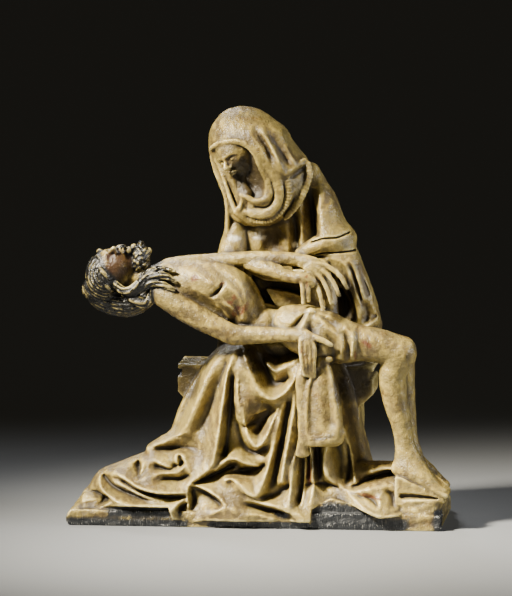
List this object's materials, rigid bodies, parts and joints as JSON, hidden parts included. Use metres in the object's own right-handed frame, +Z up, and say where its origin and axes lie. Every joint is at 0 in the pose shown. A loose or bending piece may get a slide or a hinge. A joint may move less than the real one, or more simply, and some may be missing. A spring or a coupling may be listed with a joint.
{
  "type": "pieta statue",
  "caption": "Carved alabaster group of a seated, veiled mother holding her dead son across her lap, on a bench and a low plinth.",
  "frame": {"origin": "centre of the plinth's underside", "axes": "+X along the plinth's front edge towards the son's feet, -Y out of the carved front, +Z up"},
  "size_m": [0.387, 0.139, 0.4185],
  "materials": {
    "pieta_group": "polished honey-coloured alabaster with a brown patina, and worn dark paint on the plinth and the hair"
  },
  "bodies": {
    "root": {"pieta_group": "pieta_group"}
  },
  "joints": []
}
